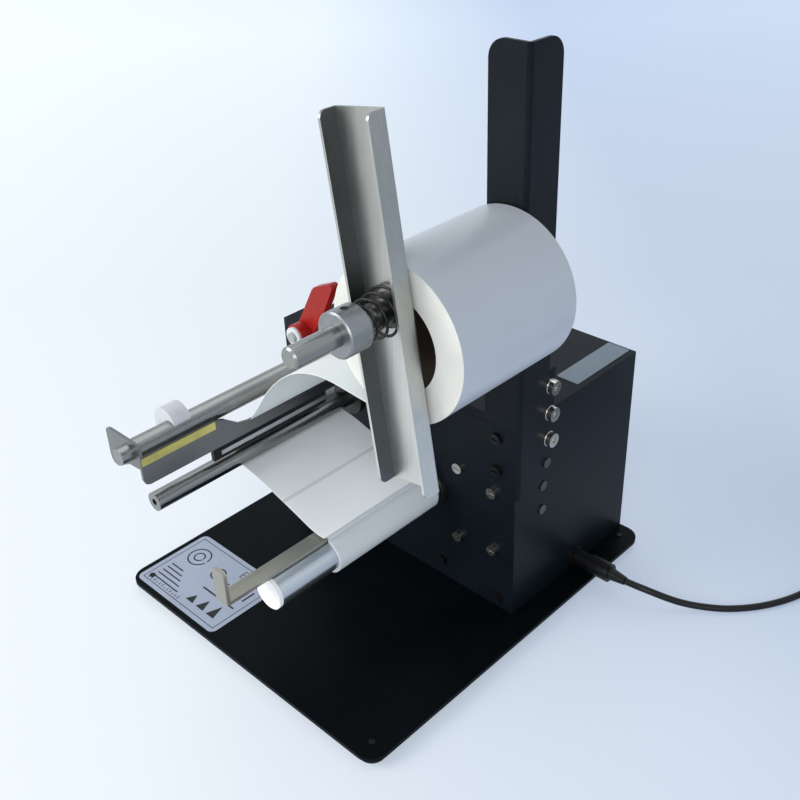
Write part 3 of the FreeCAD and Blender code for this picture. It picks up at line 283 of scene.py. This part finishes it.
# Metals
SCREW_BLACK = plain("black_oxide", (0.010, 0.010, 0.011), 0.30, metal=0.4, grain=1500.0, spec=0.3)
NICKEL = plain("nickel_plate", (0.60, 0.58, 0.54), 0.20, metal=1.0, grain=1200.0, vary=0.08)
DULL = plain("dull_screw_end", (0.10, 0.10, 0.10), 0.38, metal=1.0, grain=1200.0, vary=0.5)
ZINC = plain("zinc_plate", (0.42, 0.42, 0.41), 0.35, metal=1.0, grain=900.0, vary=0.15)
TURNED = plain("turned_collar", (0.25, 0.262, 0.270), 0.33, metal=1.0, grain=2600.0, vary=0.25,
               bump_high=0.12)
SPRING = plain("spring_wire", (0.020, 0.019, 0.018), 0.24, metal=0.8, grain=1500.0)
DARK_BUSH = plain("dark_bush", (0.020, 0.019, 0.017), 0.40, metal=0.5, grain=1800.0)
GROUND = brushed("ground_bar", (0.27, 0.275, 0.265), 0.26, "y", fine=2600.0, vary=0.22, strength=0.06)
FOIL = brushed("bright_tube", (0.50, 0.53, 0.57), 0.30, "y", fine=2200.0, vary=0.18, strength=0.08)
STAINLESS = brushed("brushed_stainless", (0.345, 0.350, 0.335), 0.34, "z", fine=1500.0, vary=0.13,
                    strength=0.05)
SHADED = brushed("shaded_stainless", (0.115, 0.120, 0.120), 0.38, "z", fine=1500.0, vary=0.15,
                 strength=0.05)
# A darker copy of the brushed stainless for the peel head: painted shade on its mirror-like steel
PEEL_SHADED = brushed("peel_shaded_stainless", (0.19, 0.195, 0.19), 0.30, "y", fine=1500.0, vary=0.18, strength=0.05)
CLIP = brushed("clip_spring_steel", (0.36, 0.345, 0.30), 0.30, "y", fine=1500.0, vary=0.15, strength=0.05)
RAIL = brushed("rail_strip", (0.50, 0.52, 0.53), 0.36, "y", fine=1500.0, strength=0.03)
brighter_below(STAINLESS, 0.250, 0.150, 1.75)

# Coats, plastics and rubber
BLACK = plain("satin_black_coat", (0.0045, 0.0075, 0.0110), 0.38, grain=2600.0, vary=0.22, bump_high=0.05,
              spec=0.10, dust=0.018)
BASE_BLACK = plain("base_black_coat", (0.0016, 0.0030, 0.0042), 0.36, grain=2600.0, vary=0.25,
                   bump_high=0.04, spec=0.05, dust=0.010)
RUBBER = plain("foot_rubber", (0.012, 0.012, 0.012), 0.75, grain=1200.0, spec=0.2)
RED = plain("red_lever", (0.31, 0.012, 0.008), 0.38, grain=700.0, vary=0.14, spec=0.22)
GREY = plain("grey_plastic", (0.60, 0.62, 0.65), 0.45, grain=900.0)
WHITE = plain("white_acetal", (0.94, 0.94, 0.93), 0.42, grain=900.0, vary=0.04)
BLACK_PLASTIC = plain("black_moulding", (0.007, 0.007, 0.008), 0.36, grain=1100.0, spec=0.22)
HUB_BLACK = plain("hub_moulding", (0.008, 0.008, 0.007), 0.24, grain=1100.0, spec=0.6)
CORD = plain("cord_jacket", (0.0045, 0.0045, 0.005), 0.32, grain=1600.0, spec=0.25)
GREEN = plain("board_laminate", (0.02, 0.12, 0.05), 0.40, grain=900.0)

# Papers, films and board
TAPE = plain("amber_tape", (0.50, 0.44, 0.11), 0.26, grain=600.0, vary=0.40, coat=0.3)
SILVER = plain("silver_strip", (0.17, 0.21, 0.25), 0.42, metal=0.3, grain=900.0, vary=0.14)
BOARD = plain("core_cardboard", (0.075, 0.055, 0.035), 0.85, grain=500.0, vary=0.25, bump_high=0.2)
SHEET = plain("sheet_film", (0.37, 0.42, 0.53), 0.30, grain=500.0, vary=0.05, spec=0.4)
MARK = plain("printed_mark", (0.010, 0.011, 0.014), 0.40, grain=900.0, spec=0.3)
LABEL = paper("label_stock", (0.49, 0.53, 0.585), 0.34)
LABEL_EDGE = wound_edge("label_edges", (0.70, 0.69, 0.645), 0.70)
LABEL_WEB = paper("label_web_stock", (0.80, 0.84, 0.82), 0.36)
LINER = paper("liner_paper", (0.66, 0.70, 0.72), 0.42)
# The web's liner paper is much lighter than the same paper on the take-up roll: painted light where the web
# lies in the shade of the roll and guide
LIGHTENED_LINER_WEB = paper("lightened_liner_web_paper", (0.94, 0.96, 0.97), 0.38)
gap_lines(LIGHTENED_LINER_WEB, "X", pitch=0.044, shift=-0.0020, width=0.0017, darker=0.80)

LOOKS = {
    "base_plate": BASE_BLACK, "rubber_feet": RUBBER, "foot_screws": SCREW_BLACK, "base_screws": ZINC,
    "housing_shell": BLACK, "front_plate": BLACK, "top_cover": BLACK, "cover_label_strip": SILVER,
    "inner_roll_guide": BLACK, "guide_tapped_bar": BLACK, "guide_screws": NICKEL,
    "guide_lock_washers": NICKEL, "guide_short_screws": DULL, "pan_screws": SCREW_BLACK,
    "motor_screws": NICKEL, "spindle": GROUND, "spindle_nut": NICKEL, "spindle_collar": TURNED,
    "collar_set_screw": SCREW_BLACK, "guide_hub": HUB_BLACK, "outer_roll_guide": STAINLESS,
    "tower_spring": SPRING, "label_roll": LABEL, "roll_core": BOARD, "clamp_bracket": BLACK,
    "clamp_stud": ZINC, "clamp_washer": ZINC, "clamp_lever": RED, "lever_cap": GREY, "peel_bar": GROUND,
    "bar_guide_ring": GREY, "peel_head": PEEL_SHADED, "wear_strip": TAPE, "label_sensor": BLACK_PLASTIC,
    "lower_roller": GROUND, "shaft_bushes": DARK_BUSH, "takeup_tube": FOIL, "tube_end_plug": WHITE,
    "takeup_shaft": GROUND, "liner_roll": LINER, "liner_clip_bar": CLIP, "takeup_gear": WHITE,
    "motor_gear": WHITE, "motor_shaft": GROUND, "motor_plate": ZINC, "motor_posts": ZINC,
    "gearmotor": ZINC, "control_board": GREEN, "speed_bushing": ZINC, "speed_knob": BLACK_PLASTIC,
    "switch_body": BLACK_PLASTIC, "switch_rocker": RED, "power_jack": BLACK_PLASTIC,
    "power_plug": BLACK_PLASTIC, "power_cord": CORD, "cord_coil": CORD, "power_adapter": BLACK_PLASTIC,
    "label_web": LABEL_WEB, "liner_web": LIGHTENED_LINER_WEB, "sensor_rail": RAIL,
}
for name, obj in NODES.items():
    if name in LOOKS and obj.type == "MESH":
        obj.data.materials.clear()
        obj.data.materials.append(LOOKS[name])


FACING_ACROSS = 0.98


def end_faces(name, mat):
    """Gives the flat faces across the machine their own material."""
    mesh = NODES[name].data
    mesh.materials.append(mat)
    for face in mesh.polygons:
        if abs(face.normal.y) > FACING_ACROSS:
            face.material_index = 1


end_faces("label_roll", LABEL_EDGE)
end_faces("roll_core", LABEL_EDGE)

GUIDE_LEAN = math.radians(8.25)
FLANGE_FROM = 0.004
FACING_RIGHT = 0.7


def shade_left_flange():
    """Darkens the inner face of the guide's left flange, which looks at the dark machine."""
    node = NODES["outer_roll_guide"]
    low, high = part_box("outer_roll_guide")
    middle = (Vector(low) + Vector(high)) / 2
    across = Vector((math.cos(GUIDE_LEAN), 0.0, math.sin(GUIDE_LEAN)))
    node.data.materials.append(SHADED)
    bpy.context.view_layer.update()
    for face in node.data.polygons:
        place = node.matrix_world @ face.center
        facing = node.matrix_world.to_3x3() @ face.normal
        if facing.x > FACING_RIGHT and (place - middle).dot(across) < -FLANGE_FROM:
            face.material_index = 1


shade_left_flange()


# The power lead
def link(name, data):
    obj = bpy.data.objects.new(name, data)
    bpy.context.scene.collection.objects.link(obj)
    return obj


def curve_piece(name, points, radius, mat):
    data = bpy.data.curves.new(name, "CURVE")
    data.dimensions = "3D"
    data.bevel_depth = radius
    data.bevel_resolution = 5
    data.resolution_u = 8
    data.use_fill_caps = True
    spline = data.splines.new("NURBS")
    spline.points.add(len(points) - 1)
    for place, point in zip(spline.points, points):
        place.co = (point[0], point[1], point[2], 1.0)
    spline.order_u = 3
    spline.use_endpoint_u = True
    data.materials.append(mat)
    return link(name, data)


LEAD_THICK = 0.0035
LEAD_LIES = 0.0019
COIL_MIDDLE = (0.205, 0.161)
COIL_OUTER = 0.0245
COIL_INNER = 0.0175
COIL_LAYERS = 4
LAYER_TURNS = 2.5
TURN_STEPS = 16
CLIMB_TURNS = 0.5

ROUTE = [(0.1106, 0.0595, 0.0128), (0.1170, 0.0606, 0.0124), (0.1230, 0.0632, 0.0109),
         (0.1295, 0.0676, 0.0076), (0.1370, 0.0732, 0.0044), (0.1460, 0.0800, 0.0026),
         (0.1550, 0.0874, 0.0019), (0.1645, 0.0980, 0.0019), (0.1716, 0.1096, 0.0019),
         (0.1761, 0.1204, 0.0019), (0.1793, 0.1320, 0.0019), (0.1803, 0.1445, 0.0019),
         (0.1805, 0.1530, 0.0019)]
TO_ADAPTER = [(0.1805, 0.1610, 0.0124), (0.1808, 0.1680, 0.0112), (0.1822, 0.1740, 0.0092),
              (0.1830, 0.1798, 0.0080)]


def coil_points():
    """Flat turns stacked in layers, each winding the other way across and climbing at its end."""
    out = []
    count = int(LAYER_TURNS * TURN_STEPS)
    for layer in range(COIL_LAYERS):
        inward = layer % 2 == 0
        start, end = (COIL_OUTER, COIL_INNER) if inward else (COIL_INNER, COIL_OUTER)
        last = layer == COIL_LAYERS - 1
        for i in range(count):
            share = i / count
            radius = start + (end - start) * share
            climb = 0.0 if last else max(0.0, share * LAYER_TURNS - LAYER_TURNS + CLIMB_TURNS) / CLIMB_TURNS
            angle = math.pi - 2 * math.pi * LAYER_TURNS * (layer + share)
            out.append((COIL_MIDDLE[0] + radius * math.cos(angle), COIL_MIDDLE[1] + radius * math.sin(angle),
                        LEAD_LIES + LEAD_THICK * (layer + climb)))
    return out


cord = curve_piece("power_lead", ROUTE + coil_points() + TO_ADAPTER, LEAD_THICK / 2, CORD)
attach(cord, "frame")
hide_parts("power_cord", "cord_coil")


# The two webs as pieces of their own, and the spring with a mesh of its own
def bending_web(node_name):
    """The web as a piece of its own, copied from the part, which is hidden."""
    source = NODES[node_name]
    bpy.context.view_layer.update()
    mesh = source.data.copy()
    mesh.transform(source.matrix_world)
    obj = link(node_name + "_sheet", mesh)
    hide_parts(node_name)
    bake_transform(obj)


bending_web("label_web")
bending_web("liner_web")

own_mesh(NODES["tower_spring"])


# Plain sheet with simple shapes on the base plate's front left corner, laid out in millimetres
def bar(x, y, wide, high):
    return [(x, y), (x + wide, y), (x + wide, y + high), (x, y + high)]


def round_box(wide, high, radius, steps=6):
    out = []
    for cx, cy, first in ((wide - radius, high - radius, 0), (radius, high - radius, 90),
                          (radius, radius, 180), (wide - radius, radius, 270)):
        for i in range(steps + 1):
            angle = math.radians(first + 90 * i / steps)
            out.append((cx + radius * math.cos(angle), cy + radius * math.sin(angle)))
    return out


def ring_band(cx, cy, radius, wide, sweep=350.0, steps=32):
    """A nearly closed band, as one outline."""
    outer = []
    inner = []
    for i in range(steps + 1):
        angle = math.radians(sweep * i / steps)
        outer.append((cx + radius * math.cos(angle), cy + radius * math.sin(angle)))
        inner.append((cx + (radius - wide) * math.cos(angle), cy + (radius - wide) * math.sin(angle)))
    return outer + list(reversed(inner))


def frame_band(x0, y0, x1, y1, wide):
    """Four bars round a rectangle."""
    return [bar(x0, y0, x1 - x0, wide), bar(x0, y1 - wide, x1 - x0, wide),
            bar(x0, y0 + wide, wide, y1 - y0 - 2 * wide), bar(x1 - wide, y0 + wide, wide, y1 - y0 - 2 * wide)]


def dial(cx, cy, outer, inner, wide=0.8):
    return [ring_band(cx, cy, outer, wide), ring_band(cx, cy, inner, wide)]


def columns(left, foot, count, pitch, wide, step, cycle, least):
    """Upright bars whose heights go up in steps and start again after each cycle."""
    return [bar(left + pitch * i, foot, wide, step * (i % cycle) + least) for i in range(count)]


def stripes(left, foot, count, pitch, longest, shorter, thick):
    """Bars across, each shorter than the one below it."""
    return [bar(left, foot + pitch * i, longest - shorter * i, thick) for i in range(count)]


def peaks(left, foot, count, pitch, wide, lowest, taller):
    """Triangles side by side, each taller than the last."""
    return [[(left + pitch * i, foot), (left + pitch * i + wide, foot),
             (left + pitch * i + wide / 2, foot + lowest + taller * i)] for i in range(count)]


SHEET_WIDE = 65.0
SHEET_HIGH = 46.0
SHEET_CORNER = 3.5
SHEET_INSET = 3.0
BAND_INSET = 2.5
FILM = 0.00012
INK = 0.00004

plate_low, plate_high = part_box("base_plate")
PLATE_TOP = plate_high[2]


def flat_piece(name, outlines, low, high, mat):
    """Closed outlines in millimetres on the sheet, each raised from low to high in metres."""
    mesh = bpy.data.meshes.new(name)
    shape = bmesh.new()
    for outline in outlines:
        places = [(plate_low[0] + (SHEET_INSET + x) * MM, plate_low[1] + (SHEET_INSET + y) * MM)
                  for x, y in outline]
        under = [shape.verts.new((x, y, low)) for x, y in places]
        over = [shape.verts.new((x, y, high)) for x, y in places]
        shape.faces.new(over)
        shape.faces.new(list(reversed(under)))
        count = len(places)
        for i in range(count):
            k = (i + 1) % count
            shape.faces.new((under[i], under[k], over[k], over[i]))
    bmesh.ops.recalc_face_normals(shape, faces=shape.faces)
    shape.to_mesh(mesh)
    shape.free()
    mesh.materials.append(mat)
    obj = link(name, mesh)
    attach(obj, "frame")


marks = frame_band(BAND_INSET, BAND_INSET, SHEET_WIDE - BAND_INSET, SHEET_HIGH - BAND_INSET, wide=0.4)
marks += dial(13.0, 32.0, outer=6.8, inner=3.4)
marks += dial(32.0, 30.0, outer=4.4, inner=1.8)
marks += columns(42.0, 25.0, count=7, pitch=2.6, wide=1.1, step=2.0, cycle=4, least=4.0)
marks += stripes(6.0, 6.5, count=5, pitch=3.0, longest=21.0, shorter=2.8, thick=0.8)
marks += peaks(34.0, 7.0, count=3, pitch=8.5, wide=6.0, lowest=5.5, taller=1.6)
marks += stripes(34.0, 18.0, count=1, pitch=0.0, longest=25.0, shorter=0.0, thick=1.0)
marks += columns(42.0, 36.0, count=5, pitch=3.6, wide=0.5, step=0.0, cycle=1, least=5.2)
marks += stripes(42.0, 36.0, count=3, pitch=2.4, longest=14.9, shorter=0.0, thick=0.4)
marks += columns(5.0, 3.6, count=12, pitch=2.3, wide=0.5, step=0.6, cycle=3, least=1.2)

flat_piece("base_sheet", [round_box(SHEET_WIDE, SHEET_HIGH, SHEET_CORNER)], PLATE_TOP, PLATE_TOP + FILM,
           SHEET)
flat_piece("sheet_marks", marks, PLATE_TOP + FILM, PLATE_TOP + FILM + INK, MARK)

# World: a soft light for the part, and a pale background for what the camera, metal and glass see
AMBIENT = (0.86, 0.92, 1.0, 1.0)
AMBIENT_STRENGTH = 0.36
BACKGROUND = (0.84, 0.91, 0.98, 1.0)


def studio_world():
    world = bpy.data.worlds.new("studio")
    bpy.context.scene.world = world
    world.use_nodes = True
    tree = world.node_tree
    soft = tree.nodes["Background"]
    soft.inputs["Color"].default_value = AMBIENT
    soft.inputs["Strength"].default_value = AMBIENT_STRENGTH
    pale = add(tree, "ShaderNodeBackground")
    pale.inputs["Color"].default_value = BACKGROUND
    pale.inputs["Strength"].default_value = 1.0
    path = add(tree, "ShaderNodeLightPath").outputs
    seen = calc(tree, "ADD", path["Is Camera Ray"], path["Is Glossy Ray"], clamp=True)
    seen = calc(tree, "ADD", seen, path["Is Transmission Ray"], clamp=True)
    both = add(tree, "ShaderNodeMixShader")
    tree.links.new(seen, both.inputs["Fac"])
    tree.links.new(soft.outputs[0], both.inputs[1])
    tree.links.new(pale.outputs[0], both.inputs[2])
    tree.links.new(both.outputs[0], tree.nodes["World Output"].inputs["Surface"])


studio_world()

# Floor: a glow of painted light, pale on the picture's left, with painted shade darker and cool on its right,
# that fades to one tone far away
FLOOR_SIZE = 40.0
FLOOR_COLOR = (0.42, 0.43, 0.44, 1.0)
FLOOR_ROUGH = 0.65
FLOOR_TONES = [(0.0, (0.28, 0.35, 0.45)), (0.36, (0.22, 0.29, 0.42)), (0.56, (0.42, 0.47, 0.52)),
               (1.0, (0.50, 0.54, 0.55))]
TONES_PER_METRE = -0.40
TONES_MIDDLE = 0.50
FAR_TONE = (0.50, 0.54, 0.585, 1.0)
FAR_FROM, FAR_TO = 1.9, 5.5
GLOW_FROM, GLOW_TO = 0.5, 1.8
GLOW_MOST = 1.4


def studio_floor():
    mesh = bpy.data.meshes.new("studio_floor")
    grid = bmesh.new()
    bmesh.ops.create_grid(grid, x_segments=1, y_segments=1, size=FLOOR_SIZE)
    grid.to_mesh(mesh)
    grid.free()
    mat, tree, shader = new_material("studio_paper")
    place = split_place(tree)
    along = calc(tree, "ADD", place["X"], place["Y"])
    tint = ramp(tree, calc(tree, "MULTIPLY_ADD", along, TONES_PER_METRE, TONES_MIDDLE), FLOOR_TONES)
    away = vector_calc(tree, "LENGTH", object_place(tree))
    fade = add(tree, "ShaderNodeMix", data_type="RGBA")
    fade.inputs["B"].default_value = FAR_TONE
    tree.links.new(spread(tree, away, 0.0, 1.0, FAR_FROM, FAR_TO, "SMOOTHSTEP"), fade.inputs["Factor"])
    tree.links.new(tint, fade.inputs["A"])
    beyond = calc(tree, "SUBTRACT", place["Y"], place["X"])
    glow = spread(tree, beyond, 1.0, GLOW_MOST, GLOW_FROM, GLOW_TO)
    shader.inputs["Base Color"].default_value = FLOOR_COLOR
    shader.inputs["Roughness"].default_value = FLOOR_ROUGH
    tree.links.new(fade.outputs["Result"], shader.inputs["Emission Color"])
    tree.links.new(glow, shader.inputs["Emission Strength"])
    mesh.materials.append(mat)
    return link("studio_floor", mesh)


floor = studio_floor()


# Lights
def area_light(name, place, target, size, power, color=(1, 1, 1)):
    data = bpy.data.lights.new(name, "AREA")
    data.shape = "RECTANGLE"
    data.size, data.size_y = size
    data.energy = power
    data.color = color
    obj = link(name, data)
    obj.location = place
    aim = Vector(target) - Vector(place)
    obj.rotation_euler = aim.to_track_quat("-Z", "Y").to_euler()


area_light("window", (-0.75, -1.05, 0.75), (0.0, 0.0, 0.12), (1.0, 0.9), 16.5, (1.0, 0.99, 0.97))
area_light("top", (-0.3, 0.4, 1.5), (0.0, 0.0, 0.1), (1.2, 1.2), 3.5)
area_light("fill", (0.95, -1.0, 0.75), (0.0, 0.0, 0.10), (0.9, 0.8), 8.5, (0.97, 0.99, 1.0))

# Camera, calibrated on the edges of the plate and the housing in the photograph
CAMERA_PLACE = Vector((0.3196, -0.3055, 0.3759))
CAMERA_AIM = Vector((-0.60294, 0.60167, -0.52389)).normalized()
CAMERA_ROLL = math.radians(-2.34)
SENSOR_WIDE = 36.0
LENS = 47.46


def photo_camera():
    side = CAMERA_AIM.cross(Vector((0, 0, 1))).normalized()
    over = side.cross(CAMERA_AIM).normalized()
    right = side * math.cos(CAMERA_ROLL) + over * math.sin(CAMERA_ROLL)
    up = over * math.cos(CAMERA_ROLL) - side * math.sin(CAMERA_ROLL)
    data = bpy.data.cameras.new("photo_camera")
    data.sensor_width = SENSOR_WIDE
    data.sensor_fit = "HORIZONTAL"
    data.lens = LENS
    data.clip_start = 0.01
    camera = link("photo_camera", data)
    turn = Matrix((right, up, -CAMERA_AIM)).transposed()
    camera.matrix_world = Matrix.Translation(CAMERA_PLACE) @ turn.to_4x4()
    bpy.context.scene.camera = camera


photo_camera()
bpy.context.scene.view_settings.view_transform = "Standard"
